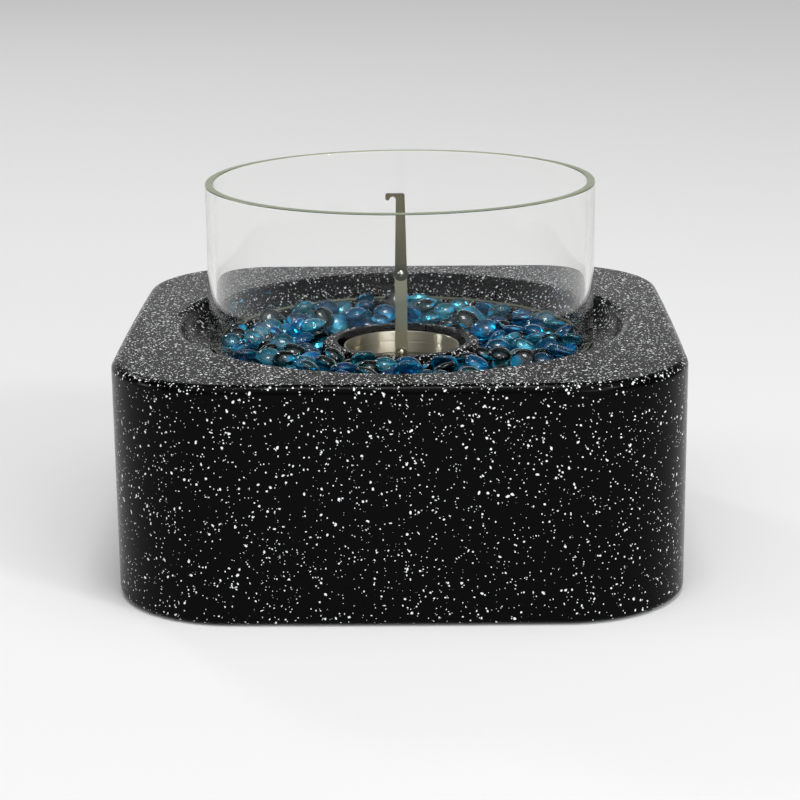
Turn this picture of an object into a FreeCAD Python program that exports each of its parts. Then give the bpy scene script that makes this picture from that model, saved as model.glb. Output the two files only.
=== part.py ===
"""Tabletop fire pit: a speckled cast-stone body with a glass guard, a bed of fire beads
and a canned-fuel burner closed by a snuffer on a folding, hooked handle.

Frame: origin on the table under the middle of the body, +Z up, +X right, +Y to the back.
Millimetres throughout.
"""
import FreeCAD
import Part
import Sketcher

import math
import os

# Driving dimensions, one cell each.
SIZES = {
    # Body casting: a rounded square with slightly bowed sides.
    "body_width": 331.2,
    "side_bow": 0.7,
    "corner_radius": 72.0,
    "body_height": 137.6,
    "wall_thickness": 16.0,
    "floor_thickness": 14.0,
    "top_edge_round": 5.0,
    "bottom_edge_round": 3.0,
    # Recess in the top, with the ledge that the glass guard stands on.
    "recess_depth": 12.0,
    "trough_width": 12.8,
    "recess_flare": 5.6,
    "recess_lip_round": 5.5,
    "recess_foot_round": 14.0,
    # Basin that holds the beads.
    "basin_depth": 17.4,
    "ledge_margin": 4.4,
    "basin_draft": 4.0,
    "basin_mouth_round": 2.0,
    # Collar round the burner well.
    "collar_rise": 16.4,
    "collar_width": 9.3,
    "collar_flare": 3.0,
    "collar_outer_round": 4.0,
    "collar_inner_round": 1.6,
    # Burner well down the middle of the collar.
    "well_draft": 1.2,
    "well_depth": 68.4,
    "well_wall": 8.5,
    "well_floor_thickness": 8.0,
    # Rubber foot pads.
    "pad_diameter": 11.0,
    "pad_height": 1.0,
    # Glass guard.
    "glass_radius": 117.2,
    "glass_wall": 4.8,
    "glass_height": 97.8,
    "glass_arris": 1.0,
    # Burner cup, of spun stainless sheet.
    "cup_radius": 35.3,
    "cup_wall": 1.0,
    "cup_gap": 2.2,
    "cup_rim_drop": 2.8,
    "cup_floor_round": 3.0,
    # Fuel can and its gel.
    "can_gap": 2.8,
    "can_wall": 0.6,
    "can_height": 50.8,
    "can_rim_width": 7.5,
    "gel_headroom": 3.0,
    "gel_clearance": 0.2,
    # Snuffer cap: a shallow pressed lid over the can.
    "cap_gap": 0.7,
    "cap_thickness": 1.0,
    "cap_skirt_depth": 3.0,
    "cap_edge_round": 0.8,
    # Bracket that carries the handle.
    "bracket_width": 7.4,
    "bracket_sheet": 1.5,
    "bracket_foot_length": 16.0,
    "foot_pivot_rise": 7.6,
    # Folding handle.
    "arm_width": 7.4,
    "arm_sheet": 1.5,
    "lower_arm_span": 49.4,
    "upper_arm_rise": 48.5,
    "stem_width": 5.3,
    "hook_slot": 3.8,
    "hook_tip_width": 2.5,
    "hook_tip_drop": 4.2,
    "hook_bar": 1.9,
    "hook_corner_round": 1.2,
    # Pivot rivets and their washers.
    "pin_radius": 1.5,
    "pin_clearance": 0.05,
    "rivet_head_radius": 2.05,
    "rivet_head_rise": 1.2,
    "rivet_tail_radius": 2.3,
    "rivet_tail_rise": 0.7,
    "washer_radius": 4.6,
    "foot_washer_radius": 3.5,
    "washer_sheet": 0.8,
    "spacer_sheet": 0.5,
    # Small rivets that hold the bracket to the cap.
    "small_pin_radius": 1.0,
    "small_head_radius": 1.9,
    "small_head_rise": 0.8,
    "small_rivet_spacing": 6.4,
    "small_rivet_setback": 3.4,
    # Fire beads: flattened drops of coloured glass.
    "bead_diameter": 17.0,
    "bead_thickness": 7.0,
    "bead_edge_radius": 2.5,
    "bead_gap": 0.35,
}

# Places and sizes that follow from the driving dimensions.
PLACES = {
    "half_width": "Sizes.body_width / 2",
    "corner_centre": "half_width - Sizes.corner_radius",
    "side_radius": "(corner_centre ^ 2 + Sizes.side_bow ^ 2) / (2 * Sizes.side_bow)",
    "side_centre": "side_radius - half_width",
    "inner_corner_radius": "Sizes.corner_radius - Sizes.wall_thickness",
    "inner_side_radius": "side_radius - Sizes.wall_thickness",
    "top_z": "Sizes.pad_height + Sizes.body_height",
    "ledge_z": "top_z - Sizes.recess_depth",
    "basin_z": "ledge_z - Sizes.basin_depth",
    "crest_z": "basin_z + Sizes.collar_rise",
    "well_z": "crest_z - Sizes.well_depth",
    "glass_inner_radius": "Sizes.glass_radius - Sizes.glass_wall",
    "recess_foot_radius": "Sizes.glass_radius + Sizes.trough_width",
    "recess_lip_radius": "recess_foot_radius + Sizes.recess_flare",
    "basin_mouth_radius": "glass_inner_radius - Sizes.ledge_margin",
    "basin_floor_radius": "basin_mouth_radius - Sizes.basin_draft",
    "basin_outer_radius": "basin_mouth_radius + Sizes.floor_thickness",
    "well_floor_radius": "Sizes.cup_radius + Sizes.cup_gap",
    "well_mouth_radius": "well_floor_radius + Sizes.well_draft",
    "well_outer_radius": "well_floor_radius + Sizes.well_wall",
    "collar_crest_radius": "well_mouth_radius + Sizes.collar_width",
    "collar_foot_radius": "collar_crest_radius + Sizes.collar_flare",
    "side_hollow_height": "ledge_z - Sizes.floor_thickness - Sizes.pad_height",
    "basin_hollow_height": "basin_z - Sizes.floor_thickness - Sizes.pad_height",
    "well_hollow_height": "well_z - Sizes.well_floor_thickness - Sizes.pad_height",
    "pad_reach": "Sizes.corner_radius - (Sizes.wall_thickness + Sizes.bottom_edge_round) / 2",
    "pad_place": "corner_centre + pad_reach * cos(45)",
    "pad_radius": "Sizes.pad_diameter / 2",
    "glass_top_z": "ledge_z + Sizes.glass_height",
    "cup_inner_radius": "Sizes.cup_radius - Sizes.cup_wall",
    "cup_inner_round": "Sizes.cup_floor_round - Sizes.cup_wall",
    "cup_floor_z": "well_z + Sizes.cup_wall",
    "cup_rim_z": "crest_z - Sizes.cup_rim_drop",
    "can_radius": "cup_inner_radius - Sizes.can_gap",
    "can_inner_radius": "can_radius - Sizes.can_wall",
    "can_mouth_radius": "can_radius - Sizes.can_rim_width",
    "can_floor_z": "cup_floor_z + Sizes.can_wall",
    "can_top_z": "cup_floor_z + Sizes.can_height",
    "can_roof_z": "can_top_z - Sizes.can_wall",
    "gel_radius": "can_inner_radius - Sizes.gel_clearance",
    "gel_z": "can_roof_z - Sizes.gel_headroom",
    "cap_z": "can_top_z + Sizes.cap_thickness",
    "cap_inner_radius": "can_radius + Sizes.cap_gap",
    "cap_radius": "cap_inner_radius + Sizes.cap_thickness",
    "cap_skirt_z": "can_top_z - Sizes.cap_skirt_depth",
    "bracket_foot_z": "cap_z + Sizes.bracket_sheet",
    "bracket_half": "Sizes.bracket_width / 2",
    "small_hole_radius": "Sizes.small_pin_radius + Sizes.pin_clearance",
    "small_head_z": "bracket_foot_z + Sizes.small_head_rise",
    "small_tail_z": "can_top_z - Sizes.small_head_rise",
    "foot_pivot_z": "cap_z + Sizes.foot_pivot_rise",
    "mid_pivot_z": "foot_pivot_z + Sizes.lower_arm_span",
    "pivot_hole_radius": "Sizes.pin_radius + Sizes.pin_clearance",
    "arm_half": "Sizes.arm_width / 2",
    "stem_half": "Sizes.stem_width / 2",
    "slot_outer": "stem_half + Sizes.hook_slot",
    "hook_outer": "slot_outer + Sizes.hook_tip_width",
    "slot_arch_z": "Sizes.upper_arm_rise - Sizes.hook_bar - Sizes.hook_slot / 2",
    "hook_tip_z": "Sizes.upper_arm_rise - Sizes.hook_tip_drop + Sizes.hook_tip_width / 2",
    "washer_front": "Sizes.arm_sheet + Sizes.washer_sheet",
    "head_front": "washer_front + Sizes.rivet_head_rise",
    "foot_stack": "Sizes.bracket_sheet",
    "foot_tail": "foot_stack + Sizes.rivet_tail_rise",
    "mid_stack": "Sizes.spacer_sheet + Sizes.arm_sheet",
    "mid_tail": "mid_stack + Sizes.rivet_tail_rise",
    "small_rivet_1_y": "Sizes.bracket_sheet + Sizes.small_rivet_setback",
    "small_rivet_2_y": "small_rivet_1_y + Sizes.small_rivet_spacing",
    "bead_radius": "Sizes.bead_diameter / 2",
    "bead_half": "Sizes.bead_thickness / 2",
}

BEAD_COLOURS = ("cobalt", "aqua", "teal")
BEAD_LAYERS = 2

doc = FreeCAD.newDocument("FirePit")
parts = []


def make_sheet(name, cells):
    """Write each cell with its alias, so that sketches and features can name it."""
    sheet = doc.addObject("Spreadsheet::Sheet", name)
    for row, (alias, content) in enumerate(cells.items(), start=1):
        sheet.set(f"A{row}", alias)
        sheet.set(f"B{row}", content)
        sheet.setAlias(f"B{row}", alias)
    doc.recompute()
    return sheet


sizes = make_sheet("Sizes", {name: str(size) for name, size in SIZES.items()})
places = make_sheet("Places", {name: f"={formula}" for name, formula in PLACES.items()})


def cell(name):
    """The expression for a named size, with the sign that the name carries."""
    bare = name.lstrip("-")
    sheet = "Sizes" if bare in SIZES else "Places"
    return f"{'-' if name != bare else ''}{sheet}.{bare}"


def number(name):
    """The value of a named size, or nought for a place on an axis."""
    if name is None:
        return 0.0
    bare = name.lstrip("-")
    sheet = sizes if bare in SIZES else places
    return float(sheet.get(bare)) * (1 if name == bare else -1)


# ---- sketch and feature helpers ----

# Sketcher's own numbers for the two axes and for the points of an edge.
H_AXIS, V_AXIS = range(-1, -3, -1)
START, END, CENTRE = range(1, 4)
ORIGIN_POINT = (H_AXIS, START)
TOLERANCE = 1e-6


def add_body(name):
    """Start a sub-part, whose label names its node."""
    body = doc.addObject("PartDesign::Body", name)
    body.Label = name
    parts.append(body)
    return body


def add_sketch(body, name, plane, height=None):
    """Attach a sketch to one of the body's own origin planes, at a named height above it."""
    sketch = body.newObject("Sketcher::SketchObject", name)
    support = [item for item in body.Origin.OriginFeatures if item.Role == plane]
    sketch.AttachmentSupport = [(support[0], "")]
    sketch.MapMode = "FlatFace"
    if height:
        sketch.setExpression("AttachmentOffset.Base.z", cell(height))
    return sketch


def bind(sketch, constraint, expression):
    """Add a dimension to a sketch and tie it to the sheets."""
    index = sketch.addConstraint(constraint)
    sketch.setExpression(f"Constraints[{index}]", expression)


def pin_point(sketch, edge, end, across, up):
    """Hold one end of an edge at a named place, or on an axis where the name is None."""
    if across is None:
        sketch.addConstraint(Sketcher.Constraint("PointOnObject", edge, end, V_AXIS))
    else:
        place = Sketcher.Constraint("DistanceX", *ORIGIN_POINT, edge, end, number(across))
        bind(sketch, place, cell(across))
    if up is None:
        sketch.addConstraint(Sketcher.Constraint("PointOnObject", edge, end, H_AXIS))
    else:
        place = Sketcher.Constraint("DistanceY", *ORIGIN_POINT, edge, end, number(up))
        bind(sketch, place, cell(up))


def add_half_round(sketch, first, last, over):
    """Join two level points with a half circle that passes over or under them."""
    left, right = sorted((first, last), key=lambda point: point.x)
    circle = Part.Circle((left + right) / 2, FreeCAD.Vector(0, 0, 1), (right.x - left.x) / 2)
    turn = (0, math.pi) if over else (math.pi, 2 * math.pi)
    edge = sketch.addGeometry(Part.ArcOfCircle(circle, *turn))
    starts_here = (first is right) if over else (first is left)
    ends = (edge, START, END) if starts_here else (edge, END, START)
    sketch.addConstraint(Sketcher.Constraint("Horizontal", edge, CENTRE, edge, START))
    return ends


def add_dome(sketch, first, last):
    """Join two points with an arc centred on the sketch's horizontal axis."""
    rim, crown = (first, last) if last.y == 0 else (last, first)
    depth = crown.x - rim.x
    radius = (rim.y ** 2 + depth ** 2) / (2 * abs(depth))
    centre = FreeCAD.Vector(crown.x - math.copysign(radius, depth), 0, 0)
    rim_turn = math.atan2(rim.y, rim.x - centre.x)
    crown_turn = 0 if depth > 0 else math.pi
    circle = Part.Circle(centre, FreeCAD.Vector(0, 0, 1), radius)
    turn = sorted((rim_turn, crown_turn))
    edge = sketch.addGeometry(Part.ArcOfCircle(circle, *turn))
    first_turn = rim_turn if first is rim else crown_turn
    ends = (edge, START, END) if first_turn == turn[0] else (edge, END, START)
    sketch.addConstraint(Sketcher.Constraint("PointOnObject", edge, CENTRE, H_AXIS))
    return ends


def draw_profile(sketch, corners):
    """Draw a closed profile. Each corner is (across, up), both named sizes or None for an
    axis, and may add the kind of edge that leaves it: over, under or dome."""
    points = [FreeCAD.Vector(number(across), number(up), 0) for across, up, *_ in corners]
    edges = []
    for index, (_, _, *kind) in enumerate(corners):
        first = points[index]
        last = points[(index + 1) % len(points)]
        if kind and kind[0] == "dome":
            edges.append(add_dome(sketch, first, last))
        elif kind:
            edges.append(add_half_round(sketch, first, last, kind[0] == "over"))
        else:
            edges.append((sketch.addGeometry(Part.LineSegment(first, last)), START, END))
    for index, (across, up, *_) in enumerate(corners):
        edge, start, _ = edges[index]
        before, _, end_before = edges[index - 1]
        sketch.addConstraint(Sketcher.Constraint("Coincident", before, end_before, edge, start))
        pin_point(sketch, edge, start, across, up)


def draw_circle(sketch, radius, across=None, up=None):
    """Draw a circle of a named radius, centred at a named place or on the axes."""
    centre = FreeCAD.Vector(number(across), number(up), 0)
    circle = Part.Circle(centre, FreeCAD.Vector(0, 0, 1), number(radius))
    edge = sketch.addGeometry(circle)
    pin_point(sketch, edge, CENTRE, across, up)
    bind(sketch, Sketcher.Constraint("Radius", edge, number(radius)), cell(radius))


def turn_profile(body, corners, plane="XZ_Plane", axis="V_Axis", cut=False):
    """Revolve a closed profile about one of its sketch's axes, to add or to cut."""
    sketch = add_sketch(body, "Profile", plane)
    draw_profile(sketch, corners)
    kind = "Groove" if cut else "Revolution"
    feature = body.newObject(f"PartDesign::{kind}", kind)
    feature.Profile = sketch
    feature.ReferenceAxis = (sketch, [axis])
    feature.Angle = 360
    doc.recompute()
    return feature


def extrude(body, sketch, length, cut=False, reverse=False, midplane=False):
    """Pad or pocket a sketch by a named length."""
    kind = "Pocket" if cut else "Pad"
    feature = body.newObject(f"PartDesign::{kind}", kind)
    feature.Profile = sketch
    feature.setExpression("Length", cell(length))
    feature.Reversed = reverse
    feature.Midplane = midplane
    doc.recompute()
    return feature


def round_edges(body, radius, chosen):
    """Round the edges of the body so far that the test picks."""
    base = body.Tip
    edges = enumerate(base.Shape.Edges, start=1)
    names = [f"Edge{index}" for index, edge in edges if chosen(edge)]
    feature = body.newObject("PartDesign::Fillet", "Fillet")
    feature.Base = (base, names)
    feature.setExpression("Radius", cell(radius))
    doc.recompute()
    return feature


def level_ring(radius, height):
    """A test for circles of a named radius about Z at a named height."""
    def chosen(edge):
        curve = edge.Curve
        if not isinstance(curve, Part.Circle):
            return False
        on_axis = math.hypot(curve.Center.x, curve.Center.y) < TOLERANCE
        same_height = math.isclose(curve.Center.z, number(height), abs_tol=TOLERANCE)
        return on_axis and same_height and math.isclose(curve.Radius, number(radius), abs_tol=TOLERANCE)
    return chosen


def rim_of_outline(height):
    """A test for the casting's outer outline at a named height."""
    radii = (number("corner_radius"), number("side_radius"))

    def chosen(edge):
        level = edge.BoundBox.ZLength < TOLERANCE and math.isclose(
            edge.BoundBox.ZMin, number(height), abs_tol=TOLERANCE)
        return level and any(math.isclose(edge.Curve.Radius, radius) for radius in radii)
    return chosen


# ---- body casting ----

def draw_outline(sketch, side_radius, corner_radius):
    """Draw the rounded square: four bowed sides joined by four tangent corner arcs."""
    side, corner = number(side_radius), number(corner_radius)
    reach, offset = number("corner_centre"), number("side_centre")
    half_side = math.atan2(reach, reach + offset)
    edges = []
    for quarter in range(4):
        middle = quarter * math.pi / 2
        inward = FreeCAD.Vector(-math.cos(middle), -math.sin(middle), 0)
        circle = Part.Circle(inward * offset, FreeCAD.Vector(0, 0, 1), side)
        arc = Part.ArcOfCircle(circle, middle - half_side, middle + half_side)
        edges.append(sketch.addGeometry(arc))
        diagonal = middle + math.pi / 4
        centre = FreeCAD.Vector(math.cos(diagonal), math.sin(diagonal), 0) * reach * math.sqrt(2)
        circle = Part.Circle(centre, FreeCAD.Vector(0, 0, 1), corner)
        turn = (middle + half_side, middle + math.pi / 2 - half_side)
        edges.append(sketch.addGeometry(Part.ArcOfCircle(circle, *turn)))
    for index, edge in enumerate(edges):
        before = edges[index - 1]
        sketch.addConstraint(Sketcher.Constraint("Tangent", before, END, edge, START))
        radius = corner_radius if index % 2 else side_radius
        bind(sketch, Sketcher.Constraint("Radius", edge, number(radius)), cell(radius))
    for quarter, edge in enumerate(edges[::2]):
        lies_on = V_AXIS if quarter % 2 else H_AXIS
        kind = "DistanceY" if quarter % 2 else "DistanceX"
        name = "-side_centre" if quarter < 2 else "side_centre"
        sketch.addConstraint(Sketcher.Constraint("PointOnObject", edge, CENTRE, lies_on))
        place = Sketcher.Constraint(kind, *ORIGIN_POINT, edge, CENTRE, number(name))
        bind(sketch, place, cell(name))


def cut_hollow(body, height, inner, outlined=True):
    """Hollow the underside up to a named height, outside a column of a named radius."""
    sketch = add_sketch(body, "Hollow", "XY_Plane", "pad_height")
    draw_circle(sketch, inner)
    if outlined:
        draw_outline(sketch, "inner_side_radius", "inner_corner_radius")
    before = body.Shape.Volume
    extrude(body, sketch, height, cut=True, reverse=True)
    if body.Shape.Volume >= before:
        raise RuntimeError("the underside hollow cuts nothing")


def make_body_casting():
    """One hollow casting: outer shell, recess and ledge, bead basin, collar and burner well."""
    body = add_body("body_casting")
    sketch = add_sketch(body, "Outline", "XY_Plane", "pad_height")
    draw_outline(sketch, "side_radius", "corner_radius")
    extrude(body, sketch, "body_height")
    round_edges(body, "top_edge_round", rim_of_outline("top_z"))
    round_edges(body, "bottom_edge_round", rim_of_outline("pad_height"))
    turn_profile(body, [
        (None, "top_z"),
        ("recess_lip_radius", "top_z"),
        ("recess_foot_radius", "ledge_z"),
        ("basin_mouth_radius", "ledge_z"),
        ("basin_floor_radius", "basin_z"),
        ("collar_foot_radius", "basin_z"),
        ("collar_crest_radius", "crest_z"),
        ("well_mouth_radius", "crest_z"),
        ("well_floor_radius", "well_z"),
        (None, "well_z"),
    ], cut=True)
    round_edges(body, "recess_lip_round", level_ring("recess_lip_radius", "top_z"))
    round_edges(body, "recess_foot_round", level_ring("recess_foot_radius", "ledge_z"))
    round_edges(body, "basin_mouth_round", level_ring("basin_mouth_radius", "ledge_z"))
    round_edges(body, "collar_outer_round", level_ring("collar_crest_radius", "crest_z"))
    round_edges(body, "collar_inner_round", level_ring("well_mouth_radius", "crest_z"))
    cut_hollow(body, "basin_hollow_height", "well_outer_radius")
    cut_hollow(body, "side_hollow_height", "basin_outer_radius")
    cut_hollow(body, "well_hollow_height", "well_outer_radius", outlined=False)


def make_foot_pads():
    """Four rubber pads under the corners of the casting."""
    corners = ((1, 1), (-1, 1), (-1, -1), (1, -1))
    for index, (side, end) in enumerate(corners, start=1):
        pad = doc.addObject("Part::Cylinder", f"foot_pad_{index}")
        pad.Label = f"foot_pad_{index}"
        pad.setExpression("Radius", cell("pad_radius"))
        pad.setExpression("Height", cell("pad_height"))
        pad.setExpression("Placement.Base.x", f"{side} * {cell('pad_place')}")
        pad.setExpression("Placement.Base.y", f"{end} * {cell('pad_place')}")
        parts.append(pad)


# ---- glass guard ----

def make_glass_guard():
    """A straight ring cut from clear tube, with ground arrises, standing on the ledge."""
    body = add_body("glass_guard")
    turn_profile(body, [
        ("glass_inner_radius", "ledge_z"),
        ("glass_radius", "ledge_z"),
        ("glass_radius", "glass_top_z"),
        ("glass_inner_radius", "glass_top_z"),
    ])
    round_edges(body, "glass_arris", lambda edge: isinstance(edge.Curve, Part.Circle))


# ---- burner ----

def make_burner_cup():
    """The stainless cup that lines the well and holds the fuel can."""
    body = add_body("burner_cup")
    turn_profile(body, [
        (None, "well_z"),
        ("cup_radius", "well_z"),
        ("cup_radius", "cup_rim_z"),
        ("cup_inner_radius", "cup_rim_z"),
        ("cup_inner_radius", "cup_floor_z"),
        (None, "cup_floor_z"),
    ])
    round_edges(body, "cup_floor_round", level_ring("cup_radius", "well_z"))
    round_edges(body, "cup_inner_round", level_ring("cup_inner_radius", "cup_floor_z"))


def make_fuel_can():
    """The seamed tin of gel fuel, with its round mouth open."""
    body = add_body("fuel_can")
    turn_profile(body, [
        (None, "cup_floor_z"),
        ("can_radius", "cup_floor_z"),
        ("can_radius", "can_top_z"),
        ("can_mouth_radius", "can_top_z"),
        ("can_mouth_radius", "can_roof_z"),
        ("can_inner_radius", "can_roof_z"),
        ("can_inner_radius", "can_floor_z"),
        (None, "can_floor_z"),
    ])


def make_fuel_gel():
    """The gel, filling the can to just under its top."""
    body = add_body("fuel_gel")
    turn_profile(body, [
        (None, "can_floor_z"),
        ("gel_radius", "can_floor_z"),
        ("gel_radius", "gel_z"),
        (None, "gel_z"),
    ])


# ---- snuffer ----

def make_snuffer_cap():
    """The pressed lid, whose skirt drops over the top of the can, holed for its rivets."""
    body = add_body("snuffer_cap")
    turn_profile(body, [
        (None, "can_top_z"),
        ("cap_inner_radius", "can_top_z"),
        ("cap_inner_radius", "cap_skirt_z"),
        ("cap_radius", "cap_skirt_z"),
        ("cap_radius", "cap_z"),
        (None, "cap_z"),
    ])
    round_edges(body, "cap_edge_round", level_ring("cap_radius", "cap_z"))
    sketch = add_sketch(body, "RivetHoles", "XY_Plane", "cap_z")
    draw_circle(sketch, "small_hole_radius", up="small_rivet_1_y")
    draw_circle(sketch, "small_hole_radius", up="small_rivet_2_y")
    extrude(body, sketch, "cap_thickness", cut=True)


def make_snuffer_bracket():
    """A bent strip: a foot riveted to the lid and an upright leg that carries the handle."""
    body = add_body("snuffer_bracket")
    sketch = add_sketch(body, "Foot", "XY_Plane", "cap_z")
    draw_profile(sketch, [
        ("-bracket_half", None),
        ("bracket_half", None),
        ("bracket_half", "bracket_foot_length"),
        ("-bracket_half", "bracket_foot_length"),
    ])
    draw_circle(sketch, "small_hole_radius", up="small_rivet_1_y")
    draw_circle(sketch, "small_hole_radius", up="small_rivet_2_y")
    extrude(body, sketch, "bracket_sheet")
    sketch = add_sketch(body, "Leg", "XZ_Plane")
    draw_profile(sketch, [
        ("-bracket_half", "cap_z"),
        ("bracket_half", "cap_z"),
        ("bracket_half", "foot_pivot_z", "over"),
        ("-bracket_half", "foot_pivot_z"),
    ])
    draw_circle(sketch, "pivot_hole_radius", up="foot_pivot_z")
    extrude(body, sketch, "bracket_sheet", reverse=True)


def make_small_rivet(name, place):
    """A flat-headed rivet that ties the bracket's foot to the lid."""
    body = add_body(name)
    turn_profile(body, [
        (None, "small_tail_z"),
        ("small_head_radius", "small_tail_z"),
        ("small_head_radius", "can_top_z"),
        ("small_pin_radius", "can_top_z"),
        ("small_pin_radius", "bracket_foot_z"),
        ("small_head_radius", "bracket_foot_z"),
        ("small_head_radius", "small_head_z"),
        (None, "small_head_z"),
    ])
    body.setExpression("Placement.Base.y", cell(place))


# ---- folding handle ----

def make_lower_arm():
    """The strip between the two pivots, with round ends."""
    body = add_body("lower_arm")
    sketch = add_sketch(body, "Strip", "XZ_Plane")
    draw_profile(sketch, [
        ("-arm_half", "lower_arm_span"),
        ("-arm_half", None, "under"),
        ("arm_half", None),
        ("arm_half", "lower_arm_span", "over"),
    ])
    draw_circle(sketch, "pivot_hole_radius")
    draw_circle(sketch, "pivot_hole_radius", up="lower_arm_span")
    extrude(body, sketch, "arm_sheet")
    body.setExpression("Placement.Base.z", cell("foot_pivot_z"))


def make_upper_arm():
    """The tapered strip above the middle pivot, with the lifting hook cut in its top."""
    body = add_body("upper_arm")
    sketch = add_sketch(body, "Strip", "XZ_Plane")
    draw_profile(sketch, [
        ("-arm_half", None, "under"),
        ("arm_half", None),
        ("stem_half", "upper_arm_rise"),
        ("-hook_outer", "upper_arm_rise"),
        ("-hook_outer", "hook_tip_z", "under"),
        ("-slot_outer", "hook_tip_z"),
        ("-slot_outer", "slot_arch_z", "over"),
        ("-stem_half", "slot_arch_z"),
    ])
    draw_circle(sketch, "pivot_hole_radius")
    extrude(body, sketch, "arm_sheet", reverse=True)
    top = number("upper_arm_rise")
    ends = (number("stem_half"), -number("hook_outer"))
    round_edges(body, "hook_corner_round", lambda edge: edge.BoundBox.ZMin > top - TOLERANCE
                and any(math.isclose(edge.BoundBox.XMin, end, abs_tol=TOLERANCE)
                        and edge.BoundBox.XLength < TOLERANCE for end in ends))
    body.setExpression("Placement.Base.y", cell("spacer_sheet"))
    body.setExpression("Placement.Base.z", cell("mid_pivot_z"))


def make_pivot_rivet(name, pivot, stack, tail):
    """A domed rivet along Y through a washer, the strips of one pivot and their holes."""
    body = add_body(name)
    turn_profile(body, [
        ("-head_front", None, "dome"),
        ("-washer_front", "rivet_head_radius"),
        ("-washer_front", "pin_radius"),
        (stack, "pin_radius"),
        (stack, "rivet_tail_radius", "dome"),
        (tail, None),
    ], plane="YZ_Plane", axis="H_Axis")
    body.setExpression("Placement.Base.z", cell(pivot))


def make_washer(name, radius, sheet, front, pivot):
    """A flat washer across a pivot, its front face at a named place along Y."""
    body = add_body(name)
    sketch = add_sketch(body, "Ring", "XZ_Plane")
    draw_circle(sketch, radius)
    draw_circle(sketch, "pivot_hole_radius")
    extrude(body, sketch, sheet, reverse=True)
    if front:
        body.setExpression("Placement.Base.y", cell(front))
    body.setExpression("Placement.Base.z", cell(pivot))


# ---- fire beads ----

def make_bead():
    """One bead: two shallow domes that run into a round edge, lying flat on z = 0."""
    radius, half = number("bead_radius"), number("bead_half")
    edge_radius = number("bead_edge_radius")
    reach, rise = radius - edge_radius, half - edge_radius
    dome_depth = (reach ** 2 - rise ** 2) / (2 * rise)
    dome_radius = dome_depth + half
    lean = math.atan2(reach, dome_depth)

    def on_dome(turn, side):
        return FreeCAD.Vector(dome_radius * math.sin(turn), 0,
                              side * (dome_radius * math.cos(turn) - dome_depth))

    top, bottom = on_dome(0, 1), on_dome(0, -1)
    outline = [
        Part.Arc(top, on_dome(lean / 2, 1), on_dome(lean, 1)).toShape(),
        Part.Arc(on_dome(lean, 1), FreeCAD.Vector(radius, 0, 0), on_dome(lean, -1)).toShape(),
        Part.Arc(on_dome(lean, -1), on_dome(lean / 2, -1), bottom).toShape(),
        Part.LineSegment(bottom, top).toShape(),
    ]
    axis = FreeCAD.Vector(0, 0, 1)
    bead = Part.Face(Part.Wire(outline)).revolve(FreeCAD.Vector(0, 0, 0), axis, 360)
    bead.translate(axis * half)
    return bead


def bead_places():
    """Centres of the beads: rings across the basin floor, in layers, none touching."""
    pitch = number("bead_diameter") + number("bead_gap")
    layer_pitch = number("bead_thickness") + number("bead_gap")
    inner, outer = number("collar_foot_radius"), number("basin_floor_radius")
    rings = int((outer - inner) / pitch)
    for layer in range(BEAD_LAYERS):
        for ring in range(rings):
            radius = inner + (outer - inner) * (ring + 0.5) / rings
            count = int(math.pi / math.asin(pitch / (2 * radius)))
            for place in range(count):
                turn = 2 * math.pi * place / count
                yield FreeCAD.Vector(radius * math.cos(turn), radius * math.sin(turn),
                                     number("bead_gap") + layer * layer_pitch)


def make_fire_beads():
    """The bed of loose beads, one group of separate solids for each colour."""
    groups = {colour: [] for colour in BEAD_COLOURS}
    bead = make_bead()
    for index, place in enumerate(bead_places()):
        copy = bead.copy()
        copy.translate(place)
        groups[BEAD_COLOURS[index % len(BEAD_COLOURS)]].append(copy)
    for colour, beads in groups.items():
        group = doc.addObject("Part::Feature", f"beads_{colour}")
        group.Label = f"beads_{colour}"
        group.Shape = Part.makeCompound(beads)
        group.Placement.Base.z = number("basin_z")
        parts.append(group)


make_body_casting()
make_foot_pads()
make_glass_guard()
make_burner_cup()
make_fuel_can()
make_fuel_gel()
make_snuffer_cap()
make_snuffer_bracket()
make_small_rivet("bracket_rivet_front", "small_rivet_1_y")
make_small_rivet("bracket_rivet_back", "small_rivet_2_y")
make_pivot_rivet("foot_rivet", "foot_pivot_z", "foot_stack", "foot_tail")
make_washer("foot_washer", "foot_washer_radius", "washer_sheet", "-washer_front", "foot_pivot_z")
make_lower_arm()
make_pivot_rivet("middle_rivet", "mid_pivot_z", "mid_stack", "mid_tail")
make_washer("middle_washer", "washer_radius", "washer_sheet", "-washer_front", "mid_pivot_z")
make_washer("middle_spacer", "arm_half", "spacer_sheet", None, "mid_pivot_z")
make_upper_arm()
make_fire_beads()
doc.recompute()

for item in doc.Objects:
    if {"Invalid", "Error"} & set(item.State):
        raise RuntimeError(f"{item.Label} did not build: {item.State}")
for part in parts:
    if part.Shape.isNull() or not part.Shape.isValid():
        raise RuntimeError(f"{part.Label} has no sound shape")

os.makedirs("parts", exist_ok=True)
for part in parts:
    part.Shape.exportStep(f"parts/{part.Label}.step")
    print(part.Label, len(part.Shape.Solids), round(part.Shape.Volume, 1))
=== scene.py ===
import math
import random

import bmesh
import bpy
from mathutils import Euler, Matrix, Vector, noise


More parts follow.
